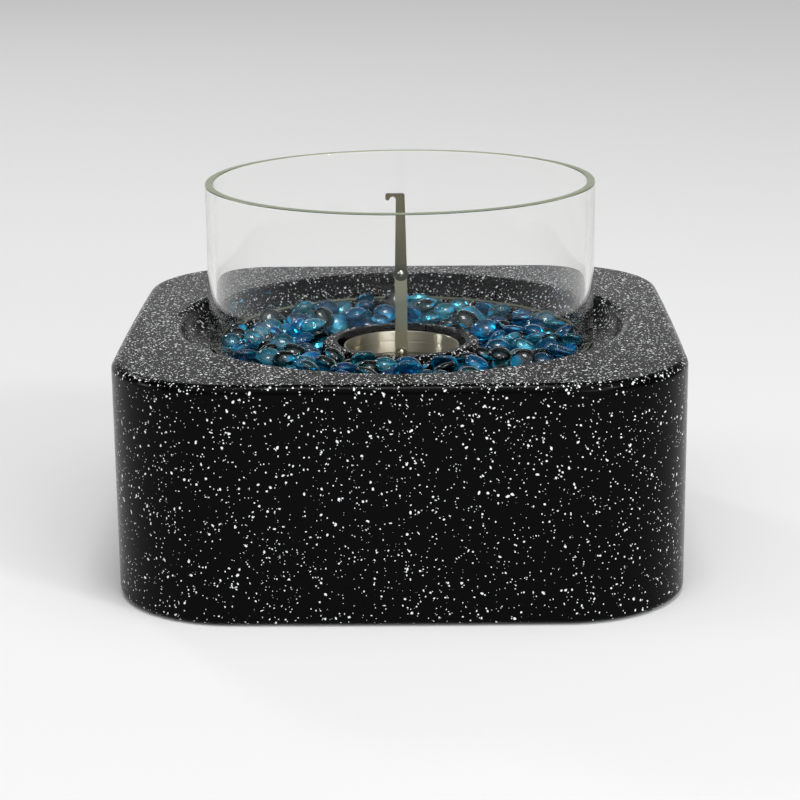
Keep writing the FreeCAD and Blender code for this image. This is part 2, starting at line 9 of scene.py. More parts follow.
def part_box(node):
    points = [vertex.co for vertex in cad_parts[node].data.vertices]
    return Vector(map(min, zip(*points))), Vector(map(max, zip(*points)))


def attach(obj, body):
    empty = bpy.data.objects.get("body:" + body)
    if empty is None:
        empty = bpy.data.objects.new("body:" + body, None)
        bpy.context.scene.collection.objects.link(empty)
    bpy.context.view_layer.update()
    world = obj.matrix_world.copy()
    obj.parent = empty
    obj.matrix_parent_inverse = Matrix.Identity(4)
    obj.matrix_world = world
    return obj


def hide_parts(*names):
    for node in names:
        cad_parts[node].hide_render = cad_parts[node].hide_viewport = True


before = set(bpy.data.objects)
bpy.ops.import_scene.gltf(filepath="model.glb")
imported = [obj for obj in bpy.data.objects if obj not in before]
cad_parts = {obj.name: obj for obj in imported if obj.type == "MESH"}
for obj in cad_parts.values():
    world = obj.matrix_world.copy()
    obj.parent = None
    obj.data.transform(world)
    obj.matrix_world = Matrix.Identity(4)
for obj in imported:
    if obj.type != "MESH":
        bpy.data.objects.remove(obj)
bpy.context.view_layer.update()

# ---- Body casting ----
# One hollow casting of glass-fibre-reinforced concrete, tinted black right through and sprayed
# with white flecks before sealing. The mould leaves soft edges, and the sealer a satin skin. The
# floor of the basin, the foot of the collar and the mouth of the well are left without flecks:
# painted shade, which keeps them dark under the beads and in the well.


def linear(code):
    """Turn an sRGB hex colour into the linear values that a shader takes."""
    channels = [int(code[start:start + 2], 16) / 255 for start in (1, 3, 5)]
    return [c / 12.92 if c <= 0.04045 else ((c + 0.055) / 1.055) ** 2.4 for c in channels] + [1.0]


def darken(code, share):
    """A share of an sRGB hex colour's linear values."""
    return [channel * share for channel in linear(code)[:3]] + [1.0]


def add_node(tree, kind, inputs, **settings):
    """Add a node, set it up, and give each named input a value or the output that feeds it."""
    node = tree.nodes.new(f"ShaderNode{kind}")
    for name, setting in settings.items():
        setattr(node, name, setting)
    for name, feed in inputs.items():
        if isinstance(feed, bpy.types.NodeSocket):
            tree.links.new(feed, node.inputs[name])
        else:
            node.inputs[name].default_value = feed
    return node


def number_math(tree, operation, first, second):
    """Put two numbers through a maths operation."""
    return add_node(tree, "Math", {0: first, 1: second}, operation=operation).outputs[0]


def vector_math(tree, operation, *feeds):
    """Put vectors through a maths operation. A length and a dot product come out as a number."""
    node = add_node(tree, "VectorMath", dict(enumerate(feeds)), operation=operation)
    return node.outputs["Value" if operation in ("LENGTH", "DOT_PRODUCT") else "Vector"]


def remap(tree, feed, low, high, new_low=0.0, new_high=1.0):
    """Stretch the range low to high over new_low to new_high, and hold it within them."""
    return add_node(tree, "MapRange", {"Value": feed, "From Min": low, "From Max": high,
                                       "To Min": new_low, "To Max": new_high}).outputs[0]


def blend(tree, share, first, second):
    """Blend two colours by a share that runs from nought to one."""
    return add_node(tree, "Mix", {"Factor": share, "A": first, "B": second},
                    data_type="RGBA").outputs["Result"]


def start_material(name, **sockets):
    """Start a material on the principled shader, with its own sockets set by name."""
    material = bpy.data.materials.new(name)
    material.use_nodes = True
    tree = material.node_tree
    shader = tree.nodes["Principled BSDF"]
    for socket, setting in sockets.items():
        shader.inputs[socket.replace("_", " ")].default_value = setting
    place = add_node(tree, "TexCoord", {}).outputs["Object"]
    return material, tree, shader, place


def vary_roughness(tree, shader, grain, smoothest, roughest):
    """Let the middle range of a noise carry the roughness from one value to the other."""
    roughness = remap(tree, grain.outputs[0], 0.3, 0.7, smoothest, roughest)
    tree.links.new(roughness, shader.inputs["Roughness"])


def emboss(tree, shader, grain, strength, distance):
    """Let a noise raise the surface by up to a distance in metres."""
    bump = add_node(tree, "Bump", {"Height": grain.outputs[0], "Strength": strength,
                                   "Distance": distance})
    tree.links.new(bump.outputs[0], shader.inputs["Normal"])


def add_flecks(tree, place, fall, cell, length, width, beside, below):
    """Scatter turned, stretched flecks in a share of the cells, as a 0 to 1 mask.

    cell, length and width are in metres: the spacing, and each fleck's half length and width.
    fall is how squarely the spray falls on the surface. beside and below are the shares of the
    cells that get a fleck where it only brushes past and where it falls straight."""
    cells = add_node(tree, "TexVoronoi", {"Vector": place, "Scale": 1 / cell})
    centre = cells.outputs["Position"]
    offset = vector_math(tree, "SUBTRACT", place, centre)
    turn = vector_math(tree, "MULTIPLY", cells.outputs["Color"], (math.tau,) * 3)
    turned = add_node(tree, "VectorRotate", {"Vector": offset, "Rotation": turn},
                      rotation_type="EULER_XYZ").outputs[0]
    stretched = vector_math(tree, "MULTIPLY", turned, (1 / length, 1 / width, 1 / width))
    reach = vector_math(tree, "LENGTH", stretched)
    dice = add_node(tree, "TexWhiteNoise", {"Vector": centre}).outputs["Value"]
    missed = remap(tree, fall, 0.0, 1.0, 1 - beside, 1 - below)
    size = remap(tree, dice, missed, 1.0, 0.35, 1.0)
    mask = remap(tree, number_math(tree, "SUBTRACT", size, reach), 0.0, 0.15)
    chosen = number_math(tree, "GREATER_THAN", dice, missed)
    return number_math(tree, "MULTIPLY", mask, chosen)


BASIN_MOUTH = 0.11
WELL_MOUTH = 0.042
COLLAR_SLOPE = 0.1152


def flecked_outside_painted_shade(tree, place):
    """1 beyond the basin's mouth and on the upper slope and crest of the collar, 0 elsewhere. The 0
    keeps the basin floor and the well's mouth free of flecks, as painted shade.
    """
    away = vector_math(tree, "LENGTH", vector_math(tree, "MULTIPLY", place, (1.0, 1.0, 0.0)))
    height = add_node(tree, "SeparateXYZ", {"Vector": place}).outputs["Z"]
    beyond = number_math(tree, "GREATER_THAN", away, BASIN_MOUTH)
    around = number_math(tree, "GREATER_THAN", away, WELL_MOUTH)
    above = number_math(tree, "GREATER_THAN", height, COLLAR_SLOPE)
    return number_math(tree, "MAXIMUM", beyond, number_math(tree, "MULTIPLY", above, around))


def make_flecked_concrete():
    """Sealed black concrete with sprayed white flecks: chips, fine dust and short hairs."""
    material, tree, shader, place = start_material(
        "sealed_flecked_concrete", Roughness=0.2, IOR=1.14)
    ragged = add_node(tree, "TexNoise", {"Vector": place, "Scale": 900.0, "Detail": 2.0})
    sway = vector_math(tree, "SUBTRACT", ragged.outputs["Color"], (0.5, 0.5, 0.5))
    nudge = add_node(tree, "VectorMath", {0: sway, "Scale": 0.0009}, operation="SCALE")
    uneven = vector_math(tree, "ADD", place, nudge.outputs[0])
    facing = add_node(tree, "SeparateXYZ", {"Vector": place.node.outputs["Normal"]})
    fall = remap(tree, facing.outputs["Z"], 0.3, 0.95)
    chips = add_flecks(tree, uneven, fall, cell=0.0028, length=0.00135, width=0.00075,
                       beside=0.24, below=0.95)
    dust = add_flecks(tree, uneven, fall, cell=0.0016, length=0.00062, width=0.00045,
                      beside=0.3, below=0.9)
    hairs = add_flecks(tree, uneven, fall, cell=0.005, length=0.0026, width=0.00045,
                       beside=0.3, below=0.9)
    round_ones = number_math(tree, "MAXIMUM", chips, dust)
    sprayed = number_math(tree, "MAXIMUM", round_ones, hairs)
    # Flecks are masked off the basin floor and the well's mouth: painted shade.
    flecks = number_math(tree, "MULTIPLY", sprayed, flecked_outside_painted_shade(tree, place))
    colour = blend(tree, flecks, linear("#040404"), linear("#f6f8fa"))
    tree.links.new(colour, shader.inputs["Base Color"])
    grain = add_node(tree, "TexNoise", {"Vector": place, "Scale": 260.0, "Detail": 4.0})
    vary_roughness(tree, shader, grain, 0.15, 0.25)
    emboss(tree, shader, grain, strength=0.12, distance=0.0004)
    return material


def dress(node, material):
    """Give a CAD node that keeps its own mesh its one material."""
    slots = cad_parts[node].data.materials
    slots.clear()
    slots.append(material)


dress("body_casting", make_flecked_concrete())


# ---- Foot pads ----
# Four stick-on pads of moulded black rubber, which keep the casting off the table. Rubber has a
# dull skin with a faint, fine pebble.


def make_pad_rubber():
    """Moulded black rubber, dull, with a fine pebbled skin."""
    material, tree, shader, place = start_material(
        "moulded_black_rubber", Base_Color=linear("#131313"), Roughness=0.75,
        Specular_IOR_Level=0.3)
    pebble = add_node(tree, "TexNoise", {"Vector": place, "Scale": 2500.0, "Detail": 2.0})
    emboss(tree, shader, pebble, strength=0.3, distance=0.0002)
    return material


pad_rubber = make_pad_rubber()
for number in range(1, 5):
    dress(f"foot_pad_{number}", pad_rubber)


# ---- Burner cup ----
# A round liner spun from thin stainless sheet, with a rolled rim and one shallow locating groove
# just under it. It stands loose in the well. Spinning leaves fine rings round the wall.


def spin_profile(profile, steps):
    """Turn a profile of (radius, height) points about Z into a skin with no seam."""
    shape = bmesh.new()
    points = [shape.verts.new((radius, 0, height)) for radius, height in profile]
    edges = [shape.edges.new(pair) for pair in zip(points, points[1:])]
    bmesh.ops.spin(shape, geom=points + edges, cent=(0, 0, 0), axis=(0, 0, 1), dvec=(0, 0, 0),
                   angle=math.tau, steps=steps, use_merge=True, use_normal_flip=False,
                   use_duplicate=False)
    bmesh.ops.remove_doubles(shape, verts=shape.verts, dist=1e-6)
    bmesh.ops.recalc_face_normals(shape, faces=shape.faces)
    return shape


def round_corner(before, corner, after, radius, steps=4):
    """Points of the arc that rounds a profile's corner."""
    before, corner, after = Vector(before), Vector(corner), Vector(after)
    towards_before = (before - corner).normalized()
    towards_after = (after - corner).normalized()
    half = towards_before.angle(towards_after) / 2
    centre = corner + (towards_before + towards_after).normalized() * radius / math.sin(half)
    start = (corner + towards_before * radius / math.tan(half) - centre).normalized()
    end = (corner + towards_after * radius / math.tan(half) - centre).normalized()
    return [tuple(centre + start.slerp(end, step / steps) * radius) for step in range(steps + 1)]


def round_profile(corners):
    """A profile from (radius, height, rounding) corners; a rounding of nought stays sharp."""
    profile = []
    for index, (radius, height, rounding) in enumerate(corners):
        inner = 0 < index < len(corners) - 1
        if rounding and inner:
            before, after = corners[index - 1][:2], corners[index + 1][:2]
            profile += round_corner(before, (radius, height), after, rounding)
        else:
            profile.append((radius, height))
    return profile


def add_piece(name, shape, material, smooth_below=40):
    """Make a named object of a shape, smooth where its faces meet at fewer degrees than that."""
    mesh = bpy.data.meshes.new(name)
    shape.to_mesh(mesh)
    shape.free()
    mesh.materials.append(material)
    mesh.shade_smooth()
    mesh.set_sharp_from_angle(angle=math.radians(smooth_below))
    piece = bpy.data.objects.new(name, mesh)
    weigh = piece.modifiers.new("broad_faces_stay_flat", "WEIGHTED_NORMAL")
    weigh.keep_sharp = True
    bpy.context.scene.collection.objects.link(piece)
    return piece


def make_spun_stainless():
    """Spun stainless: warm grey, satin, with fine rings round the axis."""
    material, tree, shader, place = start_material(
        "spun_stainless", Base_Color=linear("#dcd6c4"), Metallic=1.0, Roughness=0.38,
        Anisotropic=1.0, Anisotropic_Rotation=0.25)
    rings = add_node(tree, "Mapping", {"Vector": place, "Scale": (1.0, 1.0, 60.0)})
    lines = add_node(tree, "TexNoise", {"Vector": rings.outputs[0], "Scale": 60.0, "Detail": 4.0})
    vary_roughness(tree, shader, lines, 0.36, 0.4)
    return material


CUP_WALL = 0.001
CUP_BEND = 0.003
CUP_BEND_INSIDE = 0.002
RIM_ROLL = 0.00045
GROOVE_BELOW_RIM = 0.0065
GROOVE_DEPTH = 0.00012
GROOVE_HALF = 0.0008
GROOVE_BEND = 0.0002
cup_low, cup_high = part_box("burner_cup")
cup_radius = cup_high[0]
cup_inside = cup_radius - CUP_WALL
groove = cup_high[2] - GROOVE_BELOW_RIM
cup = add_piece("burner_cup_spun", spin_profile(round_profile([
    (0, cup_low[2], 0),
    (cup_radius, cup_low[2], CUP_BEND),
    (cup_radius, cup_high[2], RIM_ROLL),
    (cup_inside, cup_high[2], RIM_ROLL),
    (cup_inside, groove + GROOVE_HALF, GROOVE_BEND),
    (cup_inside + GROOVE_DEPTH, groove, GROOVE_BEND),
    (cup_inside, groove - GROOVE_HALF, GROOVE_BEND),
    (cup_inside, cup_low[2] + CUP_WALL, CUP_BEND_INSIDE),
    (0, cup_low[2] + CUP_WALL, 0),
]), steps=128), make_spun_stainless())
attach(cup, "cup")
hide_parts("burner_cup")


# ---- Fuel can ----
# A seamed tin of bright tinplate, with double seams round its ends and an open mouth whose lip
# is curled under. It stands loose in the cup, clear of its floor by less than a hair.


def make_tinplate():
    """Bright tinplate, lightly mottled by its tin coat."""
    material, tree, shader, place = start_material(
        "bright_tinplate", Base_Color=linear("#c9c9c6"), Metallic=1.0, Roughness=0.28)
    spangle = add_node(tree, "TexNoise", {"Vector": place, "Scale": 180.0, "Detail": 3.0})
    vary_roughness(tree, shader, spangle, 0.2, 0.4)
    return material


CAN_CLEAR = 0.00005
TIN_WALL = 0.0006
TIN_BEND = 0.0004
SEAM_HEIGHT = 0.0028
SEAM_DEPTH = 0.0007
SEAM_SLOPE = 0.0006
SEAM_INSIDE = 0.0012
SEAM_BEND = 0.0005
PANEL_EDGE = 0.0018
PANEL_DROP = 0.0016
BOTTOM_RISE = 0.0012
MOUTH_WIDTH = 0.0075
CURL_HEIGHT = 0.0012
CURL_OVERHANG = 0.0004
CURL_TUCK = 0.0006
CURL_BEND = 0.0003
CURL_ROOT_BEND = 0.0002
can_low, can_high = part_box("fuel_can")
can_foot = can_low[2] + CAN_CLEAR
can_bottom = can_foot + BOTTOM_RISE
can_radius = can_high[0]
can_body = can_radius - SEAM_DEPTH
mouth = can_radius - MOUTH_WIDTH
panel = can_high[2] - PANEL_DROP
can = add_piece("fuel_can_seamed", spin_profile(round_profile([
    (0, can_bottom, 0),
    (can_body - PANEL_EDGE, can_bottom, SEAM_BEND),
    (can_body - SEAM_INSIDE, can_foot, TIN_BEND),
    (can_radius, can_foot, SEAM_BEND),
    (can_radius, can_foot + SEAM_HEIGHT, SEAM_BEND),
    (can_body, can_foot + SEAM_HEIGHT + SEAM_SLOPE, SEAM_BEND),
    (can_body, can_high[2] - SEAM_HEIGHT - SEAM_SLOPE, SEAM_BEND),
    (can_radius, can_high[2] - SEAM_HEIGHT, SEAM_BEND),
    (can_radius, can_high[2], SEAM_BEND),
    (can_body - SEAM_INSIDE, can_high[2], TIN_BEND),
    (can_body - PANEL_EDGE, panel, SEAM_BEND),
    (mouth, panel, TIN_BEND),
    (mouth - CURL_OVERHANG, panel - CURL_HEIGHT, CURL_BEND),
    (mouth + CURL_TUCK, panel - CURL_HEIGHT, CURL_BEND),
    (mouth + CURL_TUCK, panel - TIN_WALL, CURL_ROOT_BEND),
    (can_body - TIN_WALL, panel - TIN_WALL, TIN_BEND),
    (can_body - TIN_WALL, can_bottom + TIN_WALL, TIN_BEND),
    (0, can_bottom + TIN_WALL, 0),
]), steps=96), make_tinplate())
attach(can, "can")
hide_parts("fuel_can")


# ---- Fuel gel ----
# Thickened alcohol, poured into the can and set. It is a clear, faintly blue jelly with a slack
# surface that climbs a little up the tin.


def make_fuel_gel():
    """Clear alcohol gel with a faint blue tint and a wet, lumpy surface."""
    material, tree, shader, place = start_material(
        "alcohol_gel", Base_Color=linear("#bcd3e6"), Roughness=0.12, IOR=1.37,
        Transmission_Weight=0.6)
    lumps = add_node(tree, "TexNoise", {"Vector": place, "Scale": 140.0, "Detail": 2.0})
    emboss(tree, shader, lumps, strength=0.5, distance=0.001)
    return material


GEL_CLEAR = 0.0002
GEL_SETTLED = 0.0015
GEL_CLIMB = 0.0012
GEL_SHORE = 0.003
GEL_FOOT_BEND = 0.0006
GEL_EDGE_BEND = 0.0002
GEL_SHORE_BEND = 0.002
gel_radius = can_body - TIN_WALL - GEL_CLEAR
gel_bottom = can_bottom + TIN_WALL + GEL_CLEAR
gel_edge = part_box("fuel_gel")[1][2] - GEL_SETTLED
gel = add_piece("fuel_gel_set", spin_profile(round_profile([
    (0, gel_bottom, 0),
    (gel_radius, gel_bottom, GEL_FOOT_BEND),
    (gel_radius, gel_edge, GEL_EDGE_BEND),
    (gel_radius - GEL_SHORE, gel_edge - GEL_CLIMB, GEL_SHORE_BEND),
    (0, gel_edge - GEL_CLIMB, 0),
]), steps=64), make_fuel_gel())
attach(gel, "can")
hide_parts("fuel_gel")


# ---- Snuffer lid, bracket and handle strips ----
# Stampings of stainless strip, brushed along their length. The lid drops over the can and has the
# bracket riveted to it. The lower strip folds at the bracket and the upper one at the lower one's
# top. Tumbling after the stamping has taken the sharpness off their edges.


def make_brushed_stainless(name, colour, grain, roughness):
    """Brushed stainless: fine scratches, so many to the metre of each axis, on a grey-olive."""
    material, tree, shader, place = start_material(
        name, Base_Color=linear(colour), Metallic=1.0, Roughness=roughness)
    strokes = add_node(tree, "Mapping", {"Vector": place, "Scale": grain})
    lines = add_node(tree, "TexNoise", {"Vector": strokes.outputs[0], "Scale": 1.0, "Detail": 5.0})
    vary_roughness(tree, shader, lines, roughness - 0.08, roughness + 0.12)
    shade = blend(tree, lines.outputs[0], linear(colour), darken(colour, 0.85))
    tree.links.new(shade, shader.inputs["Base Color"])
    emboss(tree, shader, lines, strength=0.15, distance=0.00008)
    return material


FLAT_WITHIN = math.radians(1)
SHARP_FROM = math.radians(40)


def tumble_edges(node, rounding):
    """A stamping with the shape of its solid, its sharp edges rounded by tumbling."""
    shape = bmesh.new()
    shape.from_mesh(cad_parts[node].data)
    bmesh.ops.remove_doubles(shape, verts=shape.verts, dist=1e-6)
    bmesh.ops.dissolve_limit(shape, angle_limit=FLAT_WITHIN, verts=shape.verts,
                             edges=shape.edges, use_dissolve_boundaries=False)
    sharp = [edge for edge in shape.edges
             if len(edge.link_faces) == 2 and edge.calc_face_angle() > SHARP_FROM]
    bmesh.ops.bevel(shape, geom=sharp, offset=rounding, offset_type="OFFSET", affect="EDGES",
                    segments=2, profile=0.5, material=-1, clamp_overlap=True)
    return shape


ALONG_STRIP = (900, 900, 25)
ACROSS_LID = (40, 900, 900)
ALONG_BRACKET = (900, 60, 60)
LID_ROUNDING = 0.0003
STRIP_ROUNDING = 0.00018
# The upper strip's steel is a darker copy of the lower strip's: painted shade, as the upper strip
# tilts a little away from the light. The lid's and the bracket's steels are also given darker
# grey-olives than the lower strip's.
upper_steel_painted_shade = make_brushed_stainless("brushed_stainless_upper_painted_shade", "#7c7865", ALONG_STRIP, 0.36)
lower_steel = make_brushed_stainless("brushed_stainless_lower", "#dcd7ba", ALONG_STRIP, 0.36)
lid_steel = make_brushed_stainless("brushed_stainless_lid", "#76715e", ACROSS_LID, 0.22)
bracket_steel = make_brushed_stainless("brushed_stainless_bracket", "#8f8a78", ALONG_BRACKET, 0.38)
for node, body, steel, rounding in (
        ("snuffer_cap", "snuffer", lid_steel, LID_ROUNDING),
        ("snuffer_bracket", "snuffer", bracket_steel, STRIP_ROUNDING),
        ("lower_arm", "lower_handle", lower_steel, STRIP_ROUNDING),
        ("upper_arm", "upper_handle", upper_steel_painted_shade, STRIP_ROUNDING)):
    stamping = add_piece(f"{node}_stamped", tumble_edges(node, rounding), steel)
    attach(stamping, body)
    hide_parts(node)


# ---- Rivets, washers and spacer ----
# Domed steel rivets, bright-plated and set with a tail at the back. The wide middle washer is
# the same plated steel given a dark green-grey: a painted reflection of its dark surroundings. The
# others are bright.


def make_plated_steel(name, colour, roughness):
    """Plated steel, slightly uneven from barrel plating."""
    material, tree, shader, place = start_material(
        name, Base_Color=linear(colour), Metallic=1.0, Roughness=roughness)
    dents = add_node(tree, "TexNoise", {"Vector": place, "Scale": 900.0, "Detail": 2.0})
    emboss(tree, shader, dents, strength=0.25, distance=0.0002)
    return material


bright_plate = make_plated_steel("bright_plated_steel", "#d6d3c6", 0.14)
# A dark green-grey copy of the plated steel for the middle washer: a painted reflection.
dull_plate_painted_reflection = make_plated_steel("plated_steel_painted_reflection", "#62685e", 0.34)
for node in ("bracket_rivet_front", "bracket_rivet_back", "foot_rivet", "middle_rivet",
             "foot_washer", "middle_spacer"):
    dress(node, bright_plate)
WASHER_ROUNDING = 0.00025
washer = add_piece("middle_washer_stamped", tumble_edges("middle_washer", WASHER_ROUNDING),
                   dull_plate_painted_reflection)
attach(washer, "lower_handle")
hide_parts("middle_washer")


# ---- Fire beads ----
# Loose drops of coloured glass in deep blue, aqua and dark teal. Each was dropped molten and
# left to slump, so it is a flattened pebble with a fire-polished skin. The bed is poured in:
# each drop settles on those below, tilted by what it leans on.


# Where the painted glow sits on each drop, and how far it turns from drop to drop.
PAINTED_GLOW_AIM = (-0.2, -0.75, 0.3)
PAINTED_GLOW_SPREAD = (2.0, 0.8, 1.0)


def make_bead_glass(name, colour, clearest):
    """Fire-polished glass, coloured right through, with a small painted glow: a pale cyan, less
    clear patch on the side of each drop that faces mostly forward, standing in for light gathered
    through the drop.
    """
    material, tree, shader, place = start_material(name, Roughness=0.0, IOR=1.56)
    island = add_node(tree, "NewGeometry", {}).outputs["Random Per Island"]
    shade = blend(tree, island, darken(colour, 0.45), linear(colour))
    # The painted glow: a pale cyan, less clear patch where the drop's skin faces its aim, standing
    # in for light gathered through the glass.
    spot = add_node(tree, "TexWhiteNoise", {"W": island}, noise_dimensions="1D")
    sway = vector_math(tree, "SUBTRACT", spot.outputs["Color"], (0.5, 0.5, 0.5))
    aim = vector_math(tree, "MULTIPLY_ADD", sway, PAINTED_GLOW_SPREAD, PAINTED_GLOW_AIM)
    towards = vector_math(tree, "NORMALIZE", aim)
    facing = vector_math(tree, "DOT_PRODUCT", place.node.outputs["Normal"], towards)
    painted_glow = remap(tree, facing, 0.88, 1.0)
    lit = blend(tree, painted_glow, shade, linear("#1cc4ff"))
    tree.links.new(lit, shader.inputs["Base Color"])
    clear = remap(tree, painted_glow, 0.0, 1.0, clearest, 0.4)
    tree.links.new(clear, shader.inputs["Transmission Weight"])
    return material


BED_SEED = 11
CELL = 0.0015
SPARE_CELLS = 8
BED_INNER = 0.0515
BED_OUTER = 0.1122
WALL_FOOT = 0.1045
WALL_TOP = 0.1085
OUT_OF_REACH = 1.0
HEAP = 0.006
BEARING_SHARE = 0.85
FLOOR_BELOW_BEADS = 0.0003
basin_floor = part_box("beads_cobalt")[0][2] - FLOOR_BELOW_BEADS
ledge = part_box("glass_guard")[0][2]
dice = random.Random(BED_SEED)


def ground(radius):
    """Height of the bare casting under the bed at a radius."""
    if radius < BED_INNER or radius > BED_OUTER:
        return ledge + OUT_OF_REACH
    if radius < WALL_FOOT:
        return basin_floor
    rise = min(1.0, (radius - WALL_FOOT) / (WALL_TOP - WALL_FOOT))
    return basin_floor + rise * (ledge - basin_floor)


widest = int(BED_OUTER / CELL) + SPARE_CELLS
columns = range(-widest, widest + 1)
heights = {(i, j): ground(math.hypot(i, j) * CELL) for i in columns for j in columns}


def cells_near(x, y, radius):
    """Each cell of the height field that a drop at (x, y) may cover, and how far off it lies."""
    reach = int(radius / CELL)
    column, row = round(x / CELL), round(y / CELL)
    for i in range(column - reach, column + reach + 1):
        for j in range(row - reach, row + reach + 1):
            yield (i, j), (i * CELL - x, j * CELL - y)


def settle(x, y, radius, half):
    """Rest a drop on the bed at (x, y): its centre height and the slope that tilts it."""
    rest, lean = -1.0, Vector((0, 0))
    for cell, offset in cells_near(x, y, radius):
        away = Vector(offset)
        share = away.length / radius
        if share < BEARING_SHARE:
            touch = heights[cell] + half * math.sqrt(1 - share * share)
            rest = max(rest, touch)
            lean += away * (min(heights[cell], ledge + HEAP) - basin_floor)
    return rest, lean


def lay(x, y, radius, half, height):
    """Raise the bed by a drop that has settled on it."""
    for cell, offset in cells_near(x, y, radius):
        share = math.hypot(*offset) / radius
        if share < 1:
            heights[cell] = max(heights[cell], height + half * math.sqrt(1 - share * share))


SWELL = 0.16
SWELL_PITCH = 0.9
FLATTER_BELOW = 0.75
DROP_SEGMENTS = 16
DROP_RINGS = 10
FIRST_SEGMENT = 3


def ball_point(ring, segment):
    """A point of a ball of radius 1, so many rings down from its top and segments round."""
    down, turn = math.pi * ring / DROP_RINGS, math.tau * segment / DROP_SEGMENTS
    return Vector((math.sin(down) * math.cos(turn), math.sin(down) * math.sin(turn),
                   math.cos(down)))


def model_drop(bed, centre, radius, half, tilt, turn):
    """Model one slumped drop: a flattened ball with a flatter base and an uneven outline.

    The random shade that the glass gives a drop follows the order of its corners and faces, and
    most of all the first face. So both are added in a fixed order, and every run looks the same."""
    place = Matrix.Translation(centre) @ Euler((tilt[0], tilt[1], turn)).to_matrix().to_4x4()
    offset = Vector((dice.uniform(0, 50), dice.uniform(0, 50), 0))

    def add_corner(ring, segment):
        point = ball_point(ring, segment)
        swell = 1 + SWELL * noise.noise(point * SWELL_PITCH + offset)
        across = radius * swell
        up = half * swell * (1.0 if point.z > 0 else FLATTER_BELOW)
        return bed.verts.new(place @ Vector((point.x * across, point.y * across, point.z * up)))

    top, bottom = add_corner(0, 0), add_corner(DROP_RINGS, 0)
    rings = [[add_corner(ring, segment) for segment in range(DROP_SEGMENTS)]
             for ring in range(1, DROP_RINGS)]
    for segment in range(FIRST_SEGMENT - DROP_SEGMENTS, FIRST_SEGMENT):
        bed.faces.new((top, rings[0][segment - 1], rings[0][segment]))
        for upper, lower in zip(rings, rings[1:]):
            bed.faces.new((upper[segment - 1], lower[segment - 1], lower[segment], upper[segment]))
        bed.faces.new((rings[-1][segment - 1], bottom, rings[-1][segment]))


BED_DROPS = 400
TRIES = 9
DROP_RADII = (0.0066, 0.0086)
DROP_FLATNESS = (0.45, 0.62)
NESTLE = 0.0008
LOOSE_TILT = 0.25
LEAN_GAIN = 900
STEEPEST_LEAN = 0.6
COLOURS = (("beads_cobalt", "#10aeee", 0.9), ("beads_aqua", "#5ce0ff", 0.88),
           ("beads_teal", "#155f66", 0.98))
NAMES = [name for name, colour, clearest in COLOURS]
shapes = {name: bmesh.new() for name in NAMES}
for _ in range(BED_DROPS):
    radius = dice.uniform(*DROP_RADII)
    half = radius * dice.uniform(*DROP_FLATNESS)
    spots = []
    for _ in range(TRIES):
        away = math.sqrt(dice.uniform((BED_INNER + radius) ** 2, (BED_OUTER - radius) ** 2))
        turn = dice.uniform(0, math.tau)
        x, y = away * math.cos(turn), away * math.sin(turn)
        height, lean = settle(x, y, radius, half)
        spots.append((height, x, y, lean))
    height, x, y, lean = min(spots, key=lambda spot: spot[0])
    height -= NESTLE
    if height + half > ledge + HEAP:
        continue
    lay(x, y, radius, half, height)
    slope = lean / max(lean.length, 1e-9) * min(STEEPEST_LEAN, lean.length * LEAN_GAIN)
    tilt = (dice.gauss(0, LOOSE_TILT) + slope.y, dice.gauss(0, LOOSE_TILT) - slope.x)
    # Towards the back more pale aqua drops are chosen, and towards the front and left more dark
    # teal ones: painted light at the back of the bed and painted shade at its front.
    right, back = (x / BED_OUTER + 1) / 2, (y / BED_OUTER + 1) / 2
    weights = (3 + 3 * right, 0.5 + 10 * back ** 2, 6.5 - 4.5 * right - 2.5 * back)
    name = dice.choices(NAMES, weights=weights)[0]
    model_drop(shapes[name], Vector((x, y, height)), radius, half, tilt, dice.uniform(0, math.tau))
for name, colour, clearest in COLOURS:
    glass = make_bead_glass(f"{name.split('_')[1]}_bead_glass", colour, clearest)
    beads = add_piece(f"{name}_poured", shapes[name], glass, smooth_below=180)
    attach(beads, "firepit")
    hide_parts(name)


# ---- Glass guard ----
# A ring cut from drawn soda-lime tube. Its cut ends are ground and fire-polished, which rounds
# them, and the iron in the glass shows green where the eye looks along the wall.


def make_clear_glass(foot, rim):
    """Clear soda-lime glass. Below foot and above rim its ground ends are frosted and pale."""
    material, tree, shader, place = start_material(
        "clear_soda_lime_glass", IOR=1.5, Specular_Tint=linear("#808080"))
    height = add_node(tree, "SeparateXYZ", {"Vector": place}).outputs["Z"]
    below = number_math(tree, "LESS_THAN", height, foot)
    above = number_math(tree, "GREATER_THAN", height, rim)
    cut_end = number_math(tree, "MAXIMUM", below, above)
    tint = blend(tree, cut_end, linear("#ffffff"), linear("#bcc6a0"))
    tree.links.new(tint, shader.inputs["Base Color"])
    frost = remap(tree, cut_end, 0.0, 1.0, 0.0, 0.3)
    tree.links.new(frost, shader.inputs["Roughness"])
    clear = remap(tree, cut_end, 0.0, 1.0, 1.0, 0.55)
    tree.links.new(clear, shader.inputs["Transmission Weight"])
    depth = add_node(tree, "VolumeAbsorption", {"Color": linear("#dadcd2"), "Density": 14.0})
    tree.links.new(depth.outputs[0], tree.nodes["Material Output"].inputs["Volume"])
    return material


